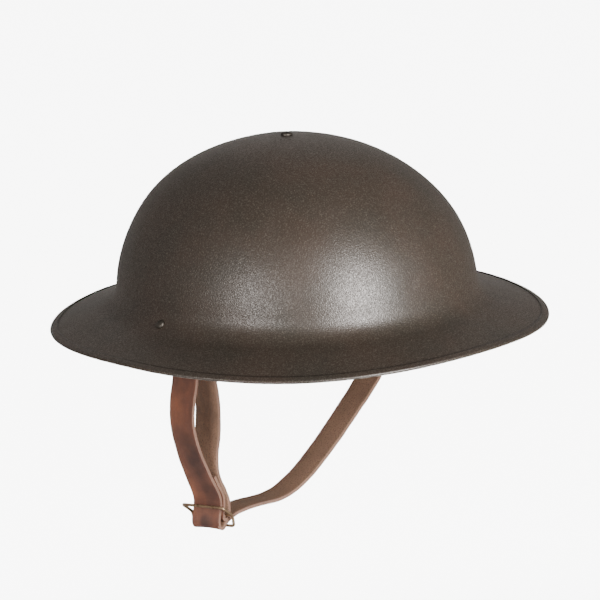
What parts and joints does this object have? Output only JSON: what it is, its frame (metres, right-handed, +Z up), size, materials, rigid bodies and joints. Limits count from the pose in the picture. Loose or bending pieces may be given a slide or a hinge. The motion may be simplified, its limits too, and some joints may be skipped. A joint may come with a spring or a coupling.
{
  "type": "brodie helmet",
  "caption": "Broad-brimmed domed steel trench helmet with a folded rim strip, domed rivets, hidden strap bails and a looped leather chin strap with a wire slide.",
  "frame": {"origin": "centre of the head opening, at the level where the crown and the brim meet: where a head carries the helmet", "axes": "+Z up through the crown, -Y to the front of the helmet, +X to the wearer's left, with the strap bails on the X axis"},
  "size_m": [0.2918, 0.3048, 0.2305],
  "materials": {
    "paint": "dull olive-brown paint with a fine sandy grain",
    "rim_paint": "dull olive-brown paint, worn pale along the edge",
    "worn_steel": "painted steel rubbed bare on the dome",
    "bail_steel": "dark dull steel wire and plate",
    "leather": "red-brown strap leather, smooth outside and rough inside, with pale cut edges",
    "aged_brass": "dull aged brass wire"
  },
  "bodies": {
    "root": {"shell": "paint", "rim_strip": "rim_paint", "crown_rivet": "worn_steel", "side_rivet_right": "worn_steel", "side_rivet_left": "worn_steel", "bail_right": "bail_steel", "bail_left": "bail_steel", "chin_strap": "leather", "strap_slide": "aged_brass"}
  },
  "joints": []
}
